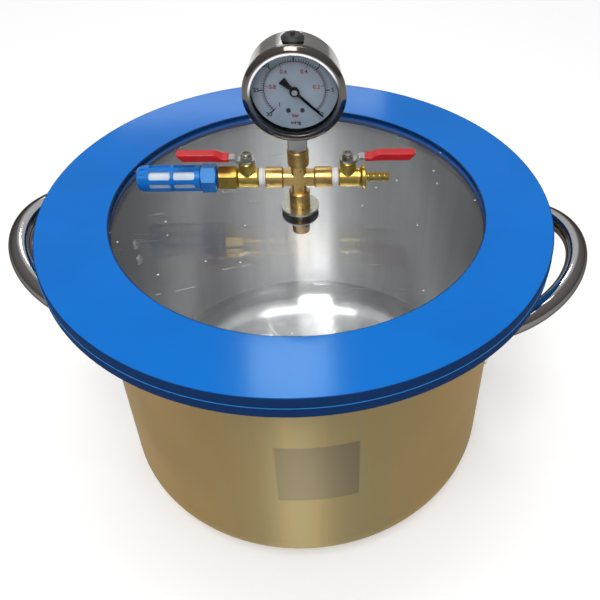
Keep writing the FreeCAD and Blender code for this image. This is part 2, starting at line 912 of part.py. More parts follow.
def make_needle():
    """Pointer with a flared tail, drawn along +x and then turned to its rest angle."""
    side = [(-needle_tail, needle_tail_width / 2, needle_tail_round), (-needle_neck, needle_neck_width / 2),
            (needle_middle, needle_middle_width / 2), (needle_length, needle_tip_width / 2)]
    mirrored = [(corner[0], -corner[1], *corner[2:]) for corner in reversed(side)]
    blade = prism(side + mirrored, needle_thickness, needle_depth)
    top = needle_depth + needle_hub_height
    hub = turned([(0, needle_depth), (needle_hub_radius, needle_depth),
                  (needle_hub_radius, top - needle_hub_chamfer),
                  (needle_hub_radius - needle_hub_chamfer, top), (0, top)])
    recess = rod(arbor_head_radius, top - arbor_head_height, top + 1)
    shape = blade.fuse(hub).cut([recess, rod(arbor_radius, 0, top + 1)])
    return one(shape).rotated(ORIGIN, Z, needle_rest_angle)


def gear_teeth(teeth, chosen, turn):
    """Corner points of straight-sided teeth, in order round the gear."""
    pitch_radius = gear_module * teeth / 2
    tip = pitch_radius + gear_addendum * gear_module
    root = pitch_radius - gear_dedendum * gear_module
    thickness = math.pi * gear_module / 2 - gear_backlash
    points = []
    for i in chosen:
        middle = 2 * math.pi * i / teeth + math.radians(turn)
        for radius, width in ((root, tooth_root_width), (tip, tooth_tip_width),
                              (tip, -tooth_tip_width), (root, -tooth_root_width)):
            angle = middle - thickness * width / 2 / pitch_radius
            points.append((radius * math.cos(angle), radius * math.sin(angle)))
    return points


def make_arbor():
    """Needle arbor with the pinion cut on it, and a dimpled head that holds the needle."""
    low = needle_depth + needle_hub_height - arbor_head_height
    top = needle_depth + needle_hub_height + arbor_head_rise
    shaft = rod(arbor_radius, back_plate_depth, low + 1).fuse(rod(arbor_head_radius, low, top))
    shaft = shaft.cut(rod(arbor_dimple_radius, top - arbor_dimple_depth, top + 1))
    teeth = gear_teeth(pinion_teeth, range(pinion_teeth), 180 / pinion_teeth)
    pinion = prism(teeth, gear_thickness + 2 * pinion_margin, gear_depth - pinion_margin)
    return one(shaft.fuse(pinion))


def tail_angle():
    """Direction of the sector's tail at rest: opposite the middle of its teeth."""
    middle = (sector_teeth - 1) / 2 - 1
    return middle * 360 / sector_full_teeth


def make_sector():
    """Toothed sector with a tail and its pin, drawn about its own pivot."""
    pitch = 360 / sector_full_teeth
    points = gear_teeth(sector_full_teeth, range(sector_teeth), 180 - pitch)
    heel = [(0, -sector_heel), (sector_heel, 0), (0, sector_heel)]
    plate = prism(points + heel, gear_thickness, gear_depth)
    hub = rod(sector_hub_radius, gear_depth, gear_depth + gear_thickness)
    half = tail_width / 2
    tail = prism([(0, -half), (tail_pin_arm + half, -half, tail_round),
                  (tail_pin_arm + half, half, tail_round), (0, half)], gear_thickness, gear_depth)
    pin = rod(tail_pin_radius, gear_depth, gear_depth + gear_thickness + pin_rise, (tail_pin_arm, 0))
    shape = plate.fuse([hub, tail.fuse(pin).rotated(ORIGIN, Z, tail_angle())])
    bore = rod(arbor_radius, 0, gear_depth + 2 * gear_thickness)
    return one(shape.cut(bore)).translated(X * gear_distance)


def make_sector_arbor():
    low, high = back_plate_depth, front_plate_depth + plate_thickness
    return rod(arbor_radius, low, high, (gear_distance, 0))


def post_places():
    left, right = -plate_left, gear_distance + plate_right
    high = plate_half_height + plate_right_rise
    return [(x, side * y) for side in (-1, 1) for x, y in ((left, plate_half_height), (right, high))]


def make_posts():
    low = back_plate_depth + plate_thickness
    return [rod(post_radius, low, front_plate_depth, place) for place in post_places()]


def plate_outline(tail):
    left, right = -plate_left - plate_round, gear_distance + plate_right + plate_round
    low = plate_half_height + plate_round
    high = low + plate_right_rise
    half = riser_width / 2
    return [(left, low, plate_round), (left, -low), (-half, -low), (-half, -tail, plate_foot_round),
            (half, -tail, plate_foot_round), (half, -high), (right, -high, plate_round),
            (right, high, plate_round), (0, high)]


def make_plate(depth, tail):
    plate = prism(plate_outline(tail), plate_thickness, depth)
    hole = arbor_radius + arbor_clearance
    holes = [rod(hole, depth - 1, depth + plate_thickness + 1, (x, 0)) for x in (0, gear_distance)]
    return plate.cut(holes)


def make_front_plate():
    return make_plate(front_plate_depth, dial_screw_drop + screw_cover).cut(dial_screw_holes())


def tube_depth():
    """Depth of the middle of the curved tube, behind the movement."""
    return back_plate_depth - tube_gap - tube_width / 2


def curved_tube(width, height):
    """Flattened tube bent about the gauge's axis, from the socket to the tip."""
    half = height / 2
    bend = half * full_round
    face = Part.Face(rounded([
        (tube_bend - half, -width / 2, bend), (tube_bend + half, -width / 2, bend),
        (tube_bend + half, width / 2, bend), (tube_bend - half, width / 2, bend)]))
    face.rotate(ORIGIN, X, 90)
    face.translate(Z * tube_depth())
    face.rotate(ORIGIN, Z, tube_tip_angle)
    return face.revolve(ORIGIN, Z, tube_start_angle - tube_tip_angle)


def link_depth():
    return gear_depth + gear_thickness + pin_rise + link_gap


def make_bourdon_tube():
    """Hollow curved tube with its closed tip, which holds the link's pin."""
    shell = curved_tube(tube_width, tube_height).cut(
        curved_tube(tube_width - 2 * tube_wall, tube_height - 2 * tube_wall))
    low = tube_depth() - tube_width / 2
    half = tube_tip_width / 2
    tip = slab((tube_bend - half, tube_bend + half), (-tube_tip_set, tube_tip_overlap),
               (low, low + tube_width))
    tip = tip.rotated(ORIGIN, Z, tube_tip_angle)
    pin = rod(tail_pin_radius, low + 1, link_depth() + link_thickness, tuple(tip_pin())[:2])
    return one(shell.fuse([tip, pin]))


def tip_pin():
    """Centre of the pin on the tube's tip."""
    return Rotation(Z, tube_tip_angle).multVec(Vector(tube_bend, -tip_pin_set, 0))


def make_link():
    """Flat link from the tube's tip to the sector's tail. It stops short of the tail's pin."""
    start = tip_pin()
    end = Rotation(Z, tail_angle()).multVec(X * tail_pin_arm) + X * gear_distance
    reach = (end - start).Length
    half = link_width / 2
    bend = half * full_round
    bar = prism([(-half, -half, bend), (reach + half, -half, bend), (reach + half, half, bend),
                 (-half, half, bend)], link_thickness, link_depth())
    hole, top = tail_pin_radius + arbor_clearance, link_depth() + link_thickness + 1
    holes = [rod(hole, 0, top, (x, 0)) for x in (0, reach)]
    angle = math.degrees(math.atan2(end.y - start.y, end.x - start.x))
    return bar.cut(holes).rotated(ORIGIN, Z, angle).translated(start)


def make_gauge_socket():
    """Threaded stem with wrench flats, and the block inside the case that holds the movement."""
    base_top = -tube_bend - tube_height / 2 - riser_gap
    half = riser_width / 2
    depth = back_plate_depth
    base = slab((-half, half), (-case_radius + case_wall + base_gap, base_top),
                (depth - riser_depth, base_front))
    riser = slab((-half, half), (base_top - 1, -dial_screw_drop - riser_cover),
                 (depth - riser_depth, depth))
    bottom = -gauge_height
    shank_top = -case_radius - shank_drop
    neck = upward(rod(socket_neck_radius, shank_top - 1, base_top - 1))
    side = shank_width / 2
    shank = slab((-side, side), (bottom + shank_neck, shank_top), (-side, side))
    edges = [e for e in shank.Edges if abs(e.tangentAt(e.FirstParameter).y) > 0.99]
    shank = shank.makeChamfer(shank_chamfer, edges)
    collar = upward(rod(gauge_collar_radius, bottom, bottom + shank_neck))
    thread = upward(rod(thread_radius, bottom - thread_engagement, bottom))
    shape = base.fuse([riser, neck, shank, collar, thread])
    turn_off = base_top - cross_bore_drop
    rise = upward(rod(gauge_bore_radius, bottom - thread_engagement - 1, turn_off))
    cross_bore = rod(gauge_bore_radius, tube_depth(), 0, (0, turn_off))
    return one(shape.cut([rise, cross_bore, curved_tube(tube_width, tube_height)]))


def make_filler_plug():
    """Rubber plug with a domed head and a small cut-off nipple."""
    seat = case_radius - plug_sink
    low, edge, top = seat - plug_neck_length, seat + plug_lift, seat + plug_height
    neck = plug_neck_radius - plug_fit
    tip = top + plug_nipple_height
    plug = turned([(0, low), (neck, low, plug_round), (neck, edge), (plug_radius, edge, plug_fit),
                   (plug_radius, edge + plug_rim, plug_round), (plug_radius - plug_dome, top, plug_round),
                   (plug_nipple_radius, top), (plug_nipple_radius - plug_nipple_taper, tip),
                   (0, tip)])
    opening = upward(rod(plug_neck_radius, 0, 2 * case_radius))
    wall = rod(case_radius, -case_radius, case_radius).cut(opening)
    return upward(plug).cut(wall).translated(Z * plug_forward)


def save(name, shapes, placing=None):
    """Writes one node. A list of shapes is a group of separate solids."""
    group = shapes if isinstance(shapes, list) else [shapes]
    solids = [solid for shape in group for solid in shape.Solids]
    if placing:
        solids = [placing(solid) for solid in solids]
    shape = solids[0] if len(solids) == 1 else Part.makeCompound(solids)
    shape.exportStep("parts/" + name + ".step")


def save_pot_and_handles():
    save("pot", make_pot())
    handle, ear, rivets = make_handle(), make_ear(), make_rivets()
    ears = [ear, ear.mirror(ORIGIN, Y)]
    for side, turn in (("right", handle_turn), ("left", handle_turn + 180)):
        def placing(shape, turn=turn):
            return shape.rotated(ORIGIN, Z, turn)
        save("handle_" + side, handle, placing)
        save("handle_ears_" + side, ears, placing)
        save("handle_rivets_" + side, rivets, placing)


def save_lid():
    save("lid", make_lid())
    save("lid_gasket", make_gasket())
    hole = nipple_radius + lid_hole_clearance
    save("top_washer", tube(washer_radius, hole, lid_top, lid_top + washer_thickness))
    save("sealing_washer", tube(seal_radius, hole, lid_bottom - seal_thickness, lid_bottom))
    save("lock_nut", make_lock_nut())
    save("lid_nipple", make_nipple())


def save_pipework():
    def at_cross(turn):
        def placing(shape):
            return shape.rotated(ORIGIN, Z, turn).translated(Z * cross_z)
        return placing

    save("cross", make_cross(), at_cross(0))
    for side, turn in (("right", 0), ("left", 180)):
        stem, end, placing = valve_stem_places[side], valve_ends[side], at_cross(turn)
        lever = make_lever(stem)
        save("thread_tape_" + side, along(make_tape(), X), placing)
        save("valve_body_" + side, make_valve_body(stem, end), placing)
        save("valve_ball_" + side, make_ball(stem), placing)
        save("valve_seats_" + side, make_seats(stem), placing)
        save("valve_stem_" + side, make_stem(stem), placing)
        save("stem_packing_" + side, make_packing(stem), placing)
        save("lever_" + side, lever, placing)
        save("lever_grip_" + side, make_grip(stem, lever), placing)
        save("lever_nut_" + side, make_lever_nut(stem), placing)
    save("hose_barb", make_hose_barb(valve_stem_places["right"], valve_ends["right"]), at_cross(0))
    save("valve_socket", make_valve_socket(valve_stem_places["left"], valve_ends["left"]),
         at_cross(180))
    save("silencer_body", make_silencer_body(), at_cross(180))
    save("silencer_element", make_silencer_element(), at_cross(180))
    save("silencer_cap", make_silencer_cap(), at_cross(180))


def save_gauge():
    pieces = {
        "gauge_case": make_case(), "gauge_bezel": make_bezel(), "gauge_window": make_window(),
        "window_seal": make_window_seal(), "gauge_dial": make_dial(),
        "dial_screws": make_dial_screws(), "gauge_needle": make_needle(), "needle_arbor": make_arbor(),
        "sector_gear": make_sector(), "sector_arbor": make_sector_arbor(),
        "movement_posts": make_posts(), "movement_front_plate": make_front_plate(),
        "movement_back_plate": make_plate(back_plate_depth, tube_bend - tube_height),
        "sector_link": make_link(), "bourdon_tube": make_bourdon_tube(),
        "gauge_socket": make_gauge_socket(), "filler_plug": make_filler_plug()}
    for name, shape in pieces.items():
        save(name, shape, on_gauge)


save_pot_and_handles()
save_lid()
save_pipework()
save_gauge()
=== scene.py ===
import math

import bpy
from mathutils import Matrix, Vector


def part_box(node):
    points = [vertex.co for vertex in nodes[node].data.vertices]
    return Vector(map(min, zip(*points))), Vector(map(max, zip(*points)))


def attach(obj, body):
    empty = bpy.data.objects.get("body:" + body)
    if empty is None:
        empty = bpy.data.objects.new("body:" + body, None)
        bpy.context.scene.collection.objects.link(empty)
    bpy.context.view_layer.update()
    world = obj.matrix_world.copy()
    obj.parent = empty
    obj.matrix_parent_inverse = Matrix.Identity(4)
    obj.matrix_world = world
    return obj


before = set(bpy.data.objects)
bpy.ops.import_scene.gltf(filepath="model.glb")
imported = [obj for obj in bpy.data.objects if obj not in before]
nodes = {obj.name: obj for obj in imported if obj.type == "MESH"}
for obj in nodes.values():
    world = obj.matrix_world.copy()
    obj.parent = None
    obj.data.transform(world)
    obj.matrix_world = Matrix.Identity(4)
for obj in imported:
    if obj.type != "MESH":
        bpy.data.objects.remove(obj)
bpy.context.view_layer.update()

scene = bpy.context.scene
scene.view_settings.view_transform = "Standard"
print("frame loaded,", len(nodes), "pieces")


class Wire:  # a socket that Python's operators work on
    def __init__(self, maker, socket):
        self.maker, self.socket = maker, socket

    def work(self, operation, *values):
        return self.maker.add("ShaderNodeMath", {"operation": operation}, dict(enumerate(values)))

    def __add__(self, other):
        return self.work("ADD", self, other)

    def __radd__(self, other):
        return self.work("ADD", other, self)

    def __sub__(self, other):
        return self.work("SUBTRACT", self, other)

    def __rsub__(self, other):
        return self.work("SUBTRACT", other, self)

    def __mul__(self, other):
        return self.work("MULTIPLY", self, other)

    def __rmul__(self, other):
        return self.work("MULTIPLY", other, self)

    def __gt__(self, other):
        return self.work("GREATER_THAN", self, other)

    def __lt__(self, other):
        return self.work("LESS_THAN", self, other)

    def __abs__(self):
        return self.work("ABSOLUTE", self)

    def greater(self, other):
        return self.work("MAXIMUM", self, other)

    def root(self):
        return self.work("SQRT", self)

    def sine(self):
        return self.work("SINE", self)

    def between(self, low, high):  # 0 below low, 1 above high, and smooth between them
        return self.maker.add("ShaderNodeMapRange", {"interpolation_type": "SMOOTHSTEP"},
                              {"Value": self, "From Min": low, "From Max": high})


class NodeMaker:  # makes the nodes of one tree
    def __init__(self, tree):
        self.tree = tree

    def add(self, kind, settings=None, sockets=None, output=0):
        node = self.tree.nodes.new(kind)
        for name, value in (settings or {}).items():
            if name == "stops":
                self.setStops(node.color_ramp, value)
            else:
                setattr(node, name, value)
        for name, value in (sockets or {}).items():
            if isinstance(value, Wire):
                self.tree.links.new(value.socket, node.inputs[name])
            else:
                node.inputs[name].default_value = value
        return Wire(self, node.outputs[output])

    def setStops(self, ramp, stops):
        while len(ramp.elements) < len(stops):
            ramp.elements.new(0.5)
        for element, (place, shade) in zip(ramp.elements, stops):
            element.position = place
            element.color = (shade, shade, shade, 1)

    def place(self, output="Object"):
        return self.add("ShaderNodeTexCoord", output=output)

    def apart(self, vector):  # x, y and z of a vector
        node = self.add("ShaderNodeSeparateXYZ", sockets={0: vector}).socket.node
        return [Wire(self, socket) for socket in node.outputs]

    def noise(self, scale, stretch=(1, 1, 1), detail=3.0):
        stretched = self.add("ShaderNodeMapping", sockets={"Vector": self.place(), "Scale": stretch})
        return self.add("ShaderNodeTexNoise", sockets={
            "Vector": stretched, "Scale": scale, "Detail": detail, "Roughness": 0.55})

    def ramp(self, value, stops):
        return self.add("ShaderNodeValToRGB", {"stops": stops}, {0: value})

    def mix(self, share, first, second):  # its colours go in at 6 and 7 and come out at 2
        first, second = [c if isinstance(c, Wire) else (*c, 1) for c in (first, second)]
        return self.add("ShaderNodeMix", {"data_type": "RGBA"}, {0: share, 6: first, 7: second}, 2)


class Finish(NodeMaker):  # one material
    def __init__(self, name, **fixed):
        self.material = bpy.data.materials.new(name)
        self.material.use_nodes = True
        super().__init__(self.material.node_tree)
        self.shader = self.tree.nodes["Principled BSDF"]
        for socket, value in fixed.items():
            self.set(socket.replace("_", " "), value)

    def set(self, socket, value):
        if isinstance(value, Wire):
            self.tree.links.new(value.socket, self.shader.inputs[socket])
        elif isinstance(value, tuple):
            self.shader.inputs[socket].default_value = (*value, 1)
        else:
            self.shader.inputs[socket].default_value = value

    def bump(self, height, strength, distance):
        self.set("Normal", self.add("ShaderNodeBump", sockets={
            "Height": height, "Strength": strength, "Distance": distance}))

    def show(self, look):  # in place of the shader alone
        self.tree.links.new(look.socket, self.tree.nodes["Material Output"].inputs["Surface"])

    def put(self, *names):
        for name in names:
            mesh = nodes[name].data
            mesh.materials.clear()
            mesh.materials.append(self.material)


def shaded(colour, share):
    return tuple(c * share for c in colour)


# Lengths are in metres, but the lens is in millimetres, and turns are in degrees.
camera = {"lens": 46.46, "place": (0.0163, -0.4772, 0.5976), "heading": 5.67, "down": 43.06,
          "roll": 2.65, "shift": -0.1333}


def setCamera():
    bpy.ops.object.camera_add()
    shot = bpy.context.object
    shot.data.lens = camera["lens"]
    shot.data.shift_x = camera["shift"]
    turn = Matrix.Rotation(math.radians(-camera["heading"]), 4, "Z")
    tip = Matrix.Rotation(math.radians(90 - camera["down"]), 4, "X")
    roll = Matrix.Rotation(math.radians(camera["roll"]), 4, "Z")
    shot.matrix_world = Matrix.Translation(camera["place"]) @ turn @ tip @ roll
    scene.camera = shot


studio = {
    "skyLow": 0.26, "skyHigh": 0.56,   # strength at the horizon and overhead
    "floorSize": 14, "floorDrop": 0.0004, "floorShade": (0.86, 0.86, 0.86), "floorRoughness": 0.9,
    "floorGlow": 0.3,   # only for the eye, in reflections and through the lid
    "lamps": [  # name, place, aim, width, height, watts
        ("ceilingFront", (-0.14, -1.15, 1.95), (0, 0.1, 0.1), 0.6, 1.3, 20),
        ("ceilingTop", (-0.05, 0.0, 2.35), (0, 0, 0.1), 0.32, 1.0, 8),
        ("windowHigh", (-0.115, 1.5, 2.12), (0, -0.16, 0.25), 0.31, 0.3, 3.0),
        ("windowLow", (-0.175, 1.5, 0.985), (-0.075, 0.15, 0.25), 0.75, 0.10, 0.62),
    ],
}


def setSky():
    world = bpy.data.worlds.new("studioSky")
    scene.world = world
    world.use_nodes = True
    sky = NodeMaker(world.node_tree)
    height = sky.apart(sky.place("Generated"))[2]
    strength = sky.add("ShaderNodeMapRange", sockets={   # dimmer low down, brighter overhead
        "Value": height, "To Min": studio["skyLow"], "To Max": studio["skyHigh"]})
    backdrop = sky.tree.nodes["Background"]
    backdrop.inputs["Color"].default_value = (1, 1, 1, 1)
    sky.tree.links.new(strength.socket, backdrop.inputs["Strength"])


def setFloor():
    bpy.ops.mesh.primitive_plane_add(size=studio["floorSize"], location=(0, 0, -studio["floorDrop"]))
    floor = bpy.context.object
    floor.name = "studioFloor"
    paint = Finish("floorPaint", Base_Color=studio["floorShade"], Roughness=studio["floorRoughness"],
                   Emission_Color=(1, 1, 1))
    seen = paint.add("ShaderNodeLightPath", output="Is Camera Ray")
    for ray in ("Is Glossy Ray", "Is Transmission Ray"):
        seen = seen.greater(paint.add("ShaderNodeLightPath", output=ray))
    paint.set("Emission Strength", seen * studio["floorGlow"])
    floor.data.materials.append(paint.material)


def setLamps():
    for name, place, aim, width, height, power in studio["lamps"]:
        bpy.ops.object.light_add(type="AREA", location=place)
        lamp = bpy.context.object
        lamp.name = name
        lamp.data.shape = "RECTANGLE"
        lamp.data.size, lamp.data.size_y = width, height
        lamp.data.energy = power
        lamp.rotation_euler = (Vector(aim) - Vector(place)).to_track_quat("-Z", "Y").to_euler()
        lamp.visible_camera = False


setCamera()
setSky()
setFloor()
setLamps()
print("camera and light set")


# In the names below, Pair is the two ends of a soft change, Bump is a strength and a depth, a pattern's
# three numbers squeeze it along x, y and z, and Rougher and Smoother are what it adds to the roughness or
# takes off.
potFinish = {
    # painted reflection: the outside's khaki colour stands for brown surroundings mirrored in the grey
    # steel
    "outside": (0.48, 0.325, 0.130), "paintedSheen": (0.37, 0.30, 0.150), "patch": (0.30, 0.25, 0.15),
    "rings": (14, 14, 1600), "ringBump": (0.12, 0.0002), "streaks": (70, 70, 3.0),
    "clouds": 9.0, "cloudStretch": (1, 1, 0.7), "cloudPair": (0.35, 0.7), "cloudShade": 0.86,
    "paintedSheenPair": (0.02, 0.12), "paintedSheenStreakPair": (0.1, 0.6),   # painted sheen, greyer down the front
    "insidePaintedShades": [(0, 0.78), (0.15, 0.80), (0.3, 0.98), (0.5, 0.95), (0.9, 0.42)],
    "insideMiddle": 0.012, "insideSpread": 6,   # the painted shades run from this x to both sides
    "bands": (16, 16, 0.8), "smudge": (0.2, 0.2, 0.2), "smudgePair": (0.4, 0.6), "smudgeShare": 0.13,
    "roughness": 0.42, "ringRougher": 0.06, "patchRougher": 0.2, "insideSmoother": 0.1,
    "foot": 0.030, "footEdge": 0.002, "footSmoother": 0.17,   # smoother below this height inside
    "patchTurn": -86.5, "patchArc": 0.030,   # its place round the pot, and half its width
    "patchLow": 0.0935, "patchHigh": 0.158, "patchEdge": 0.0008,
}


def etchedPatch(across, height):   # 1 on the bare patch and 0 off it
    edge = potFinish["patchEdge"]
    inArc = 1 - abs(across).between(potFinish["patchArc"] - edge, potFinish["patchArc"] + edge)
    above = height.between(potFinish["patchLow"] - edge, potFinish["patchLow"] + edge)
    below = 1 - height.between(potFinish["patchHigh"] - edge, potFinish["patchHigh"] + edge)
    return inArc * above * below


# the outside's colour: khaki as a painted reflection, random clouds, a painted sheen down the front, and
# the bare etched patch
def warmOutside(steel, streaks, across, front, patch):
    clouds = steel.noise(potFinish["clouds"], potFinish["cloudStretch"], detail=2.0)
    warm = steel.mix(clouds.between(*potFinish["cloudPair"]), potFinish["outside"],
                     shaded(potFinish["outside"], potFinish["cloudShade"]))
    nearPatch = front * (1 - abs(across).between(*potFinish["paintedSheenPair"]))
    # painted sheen: greyer streaks down the front around the patch
    paintedSheen = nearPatch * streaks.between(*potFinish["paintedSheenStreakPair"])
    warm = steel.mix(paintedSheen, warm, potFinish["paintedSheen"])
    return steel.mix(patch, warm, potFinish["patch"])


def coolInside(steel, streaks, x):   # painted light and shade: brightest off the middle, and dark at the sides
    aside = abs(x - potFinish["insideMiddle"]) * potFinish["insideSpread"]
    insidePaintedLight = steel.ramp(aside, potFinish["insidePaintedShades"])
    bands = steel.noise(1.0, potFinish["bands"], detail=2)
    smudges = (streaks * 0.5 + bands * 0.5).between(*potFinish["smudgePair"])
    return steel.mix(smudges * potFinish["smudgeShare"], insidePaintedLight, potFinish["smudge"])


def potSteel():
    steel = Finish("potSteel", Metallic=1.0, Anisotropic=1.0, Anisotropic_Rotation=0.25)
    x, y, z = steel.apart(steel.place())
    nx, ny, nz = steel.apart(steel.place("Normal"))
    low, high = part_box("pot")
    middle = (low.z + high.z) / 2
    outside = (nx * x + ny * y + nz * (z - middle)) > 0
    rings = steel.noise(1.0, potFinish["rings"], detail=4.0)   # brushed round the axis
    streaks = steel.noise(1.0, potFinish["streaks"])
    turn = math.radians(potFinish["patchTurn"])
    across = y * math.cos(turn) - x * math.sin(turn)
    front = (x * math.cos(turn) + y * math.sin(turn)) > 0
    patch = etchedPatch(across, z) * front * outside
    warm = warmOutside(steel, streaks, across, front, patch)
    steel.set("Base Color", steel.mix(outside, coolInside(steel, streaks, x), warm))
    inside = 1 - outside
    foot = inside * (1 - z.between(potFinish["foot"] - potFinish["footEdge"], potFinish["foot"]))
    steel.set("Roughness", potFinish["roughness"] + rings * potFinish["ringRougher"]
              + patch * potFinish["patchRougher"] - inside * potFinish["insideSmoother"]
              - foot * potFinish["footSmoother"])
    steel.bump(rings, *potFinish["ringBump"])
    steel.put("pot")


tubeFinish = {
    # painted light: the chrome is painted dark for the dark surroundings it would mirror, with a painted
    # highlight stripe on top, and the edge tint dims its rims
    "paintedShade": (0.20, 0.185, 0.18), "paintedHighlight": (0.80, 0.80, 0.80), "edgeTint": (0.3, 0.27, 0.26),
    "upright": 0.92, "lean": 2, "highlightPair": (0.88, 0.99),   # the painted highlight stripe leans to the pot's side
    "smears": 60, "smearPair": (0.4, 0.8), "roughness": 0.06, "smearRougher": 0.08,
    "dents": 25, "dentBump": (0.03, 0.0006),
}


def polishedTube():
    tube = Finish("polishedTube", Metallic=1.0, Specular_Tint=tubeFinish["edgeTint"])
    x = tube.apart(tube.place())[0]
    nx, _, nz = tube.apart(tube.place("Normal"))
    # painted highlight where the tube faces up and leans to the pot
    upper = (nz * tubeFinish["upright"] - nx * x * tubeFinish["lean"]).between(*tubeFinish["highlightPair"])
    tube.set("Base Color", tube.mix(upper, tubeFinish["paintedShade"], tubeFinish["paintedHighlight"]))
    smears = tube.noise(tubeFinish["smears"], detail=4).between(*tubeFinish["smearPair"])
    tube.set("Roughness", tubeFinish["roughness"] + smears * tubeFinish["smearRougher"])
    tube.bump(tube.noise(tubeFinish["dents"]), *tubeFinish["dentBump"])
    tube.put("handle_left", "handle_right")


bezelFinish = {
    # painted light: a dark roll and a painted highlight on the lip's upper half
    "paintedShade": (0.13, 0.115, 0.105), "paintedHighlight": (0.88, 0.88, 0.87),
    "lipPair": (0.0299, 0.0304), "upperPair": (0.001, 0.014),   # metres from the middle
    "upperLean": 0.15, "roughness": 0.06, "smears": 90, "smearRougher": 0.06, "lipRougher": 0.12,
}


def bezelSteel():  # its roll is painted dark for dark reflections, and the upper half of its lip carries a painted highlight
    steel = Finish("bezelSteel", Metallic=1.0)
    x, _, z = steel.apart(steel.place())
    low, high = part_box("gauge_bezel")
    across, rise = x - (low.x + high.x) / 2, z - (low.z + high.z) / 2
    radius = (across * across + rise * rise).root()
    lip = 1 - radius.between(*bezelFinish["lipPair"])
    upper = (rise - across * bezelFinish["upperLean"]).between(*bezelFinish["upperPair"])
    # painted highlight on the lip's upper half, painted shade elsewhere
    steel.set("Base Color", steel.mix(lip * upper, bezelFinish["paintedShade"], bezelFinish["paintedHighlight"]))
    smears = steel.noise(bezelFinish["smears"])
    steel.set("Roughness", bezelFinish["roughness"] + smears * bezelFinish["smearRougher"]
              + lip * bezelFinish["lipRougher"])
    steel.put("gauge_bezel")


ringFinish = {
    # the wall colour is painted shade for the outer wall and the bore
    "top": (0.004, 0.165, 0.62), "wall": (0.003, 0.028, 0.12), "bead": (0.03, 0.22, 0.62),
    "shine": 0.22, "shineTint": (0.5, 0.85, 1.0),
    "wallInset": 0.0018, "wallEdge": 0.0012,   # the outer wall starts this far in
    "borePair": (0.1394, 0.1404),   # radius
    "beadPair": (0.0002, 0.0006),   # the thin pale line half way up the wall
    "mottle": 18, "mottlePair": (0.3, 0.7), "mottleShade": 0.93,
    "roughness": 0.09, "smears": 240, "smearRougher": 0.06, "wallRougher": 0.8,
    "grain": 320, "grainBump": (0.05, 0.0002),
}


def ringSilicone():
    silicone = Finish("ringSilicone", Specular_IOR_Level=ringFinish["shine"],
                      Specular_Tint=ringFinish["shineTint"])
    x, y, z = silicone.apart(silicone.place())
    radius = (x * x + y * y).root()
    low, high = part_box("lid_gasket")
    wallStart = high.x - ringFinish["wallInset"]
    wall = radius.between(wallStart, wallStart + ringFinish["wallEdge"])
    bore = 1 - radius.between(*ringFinish["borePair"])
    onBead = 1 - abs(z - (low.z + high.z) / 2).between(*ringFinish["beadPair"])
    mottle = silicone.noise(ringFinish["mottle"]).between(*ringFinish["mottlePair"])
    blue = silicone.mix(mottle, ringFinish["top"], shaded(ringFinish["top"], ringFinish["mottleShade"]))
    # painted shade: the outer wall and the bore darker than the top
    blue = silicone.mix(wall.greater(bore), blue, ringFinish["wall"])
    silicone.set("Base Color", silicone.mix(wall * onBead, blue, ringFinish["bead"]))
    smears = silicone.noise(ringFinish["smears"])
    silicone.set("Roughness", ringFinish["roughness"] + smears * ringFinish["smearRougher"]
                 + wall * ringFinish["wallRougher"])
    silicone.bump(silicone.noise(ringFinish["grain"]), *ringFinish["grainBump"])
    silicone.put("lid_gasket")


windowFinish = {"tint": (0.97, 0.98, 0.98), "ior": 1.16, "shine": 0.1}


def seeThrough(name, look, *pieces):
    # lamps shine straight through it, and the eye sees it bend what is behind it
    clear = Finish(name, Base_Color=look["tint"], Roughness=0.0, IOR=look["ior"],
                   Transmission_Weight=1.0, Specular_IOR_Level=look["shine"])
    rays = clear.add("ShaderNodeLightPath", output="Is Shadow Ray")
    passing = clear.add("ShaderNodeBsdfTransparent", sockets={"Color": (*look["tint"], 1)})
    body = Wire(clear, clear.shader.outputs[0])
    both = clear.add("ShaderNodeMixShader", sockets={0: rays, 1: body, 2: passing})
    clear.show(both)
    clear.put(*pieces)
    return clear, both


lidFinish = {
    "tint": (0.975, 0.985, 0.985), "ior": 1.49, "shine": 0.3,
    "rubs": (22, 420, 420), "rubPair": (0.60, 0.72), "rubRougher": 0.3,
    "rubPlaces": 14, "rubPlacePair": (0.52, 0.66),
    "skin": 0.0002,   # scratches and dust are on the top face alone
    "scratches": 420, "scratchPair": (0.97, 1.0), "scratchLean": 0.22, "scratchSway": 0.006,
    "sways": 30, "scratchPlaces": (45, 90, 1), "scratchPlacePair": (0.60, 0.68),
    "scratchEnd": -0.012, "scratchShare": 0.3,   # none to the right of this x
    "specks": 34.0, "speckPair": (0.014, 0.028), "speckless": 0.55, "speckShare": 0.9,
    "dust": (0.95, 0.95, 0.95, 1),
}


def lidScratches(clear, x, y):
    sways = clear.noise(lidFinish["sways"], detail=2)
    waves = (y - x * lidFinish["scratchLean"] + sways * lidFinish["scratchSway"]) * lidFinish["scratches"]
    places = clear.noise(1.0, lidFinish["scratchPlaces"], detail=2)
    places = places.between(*lidFinish["scratchPlacePair"]) * (x < lidFinish["scratchEnd"])
    return waves.sine().between(*lidFinish["scratchPair"]) * places


def lidSpecks(clear):
    cells = clear.add("ShaderNodeTexVoronoi", {"voronoi_dimensions": "2D"},
                      {"Vector": clear.place(), "Scale": lidFinish["specks"]})
    chance = clear.apart(Wire(clear, cells.socket.node.outputs["Color"]))[0]
    return (1 - cells.between(*lidFinish["speckPair"])) * (chance > lidFinish["speckless"])


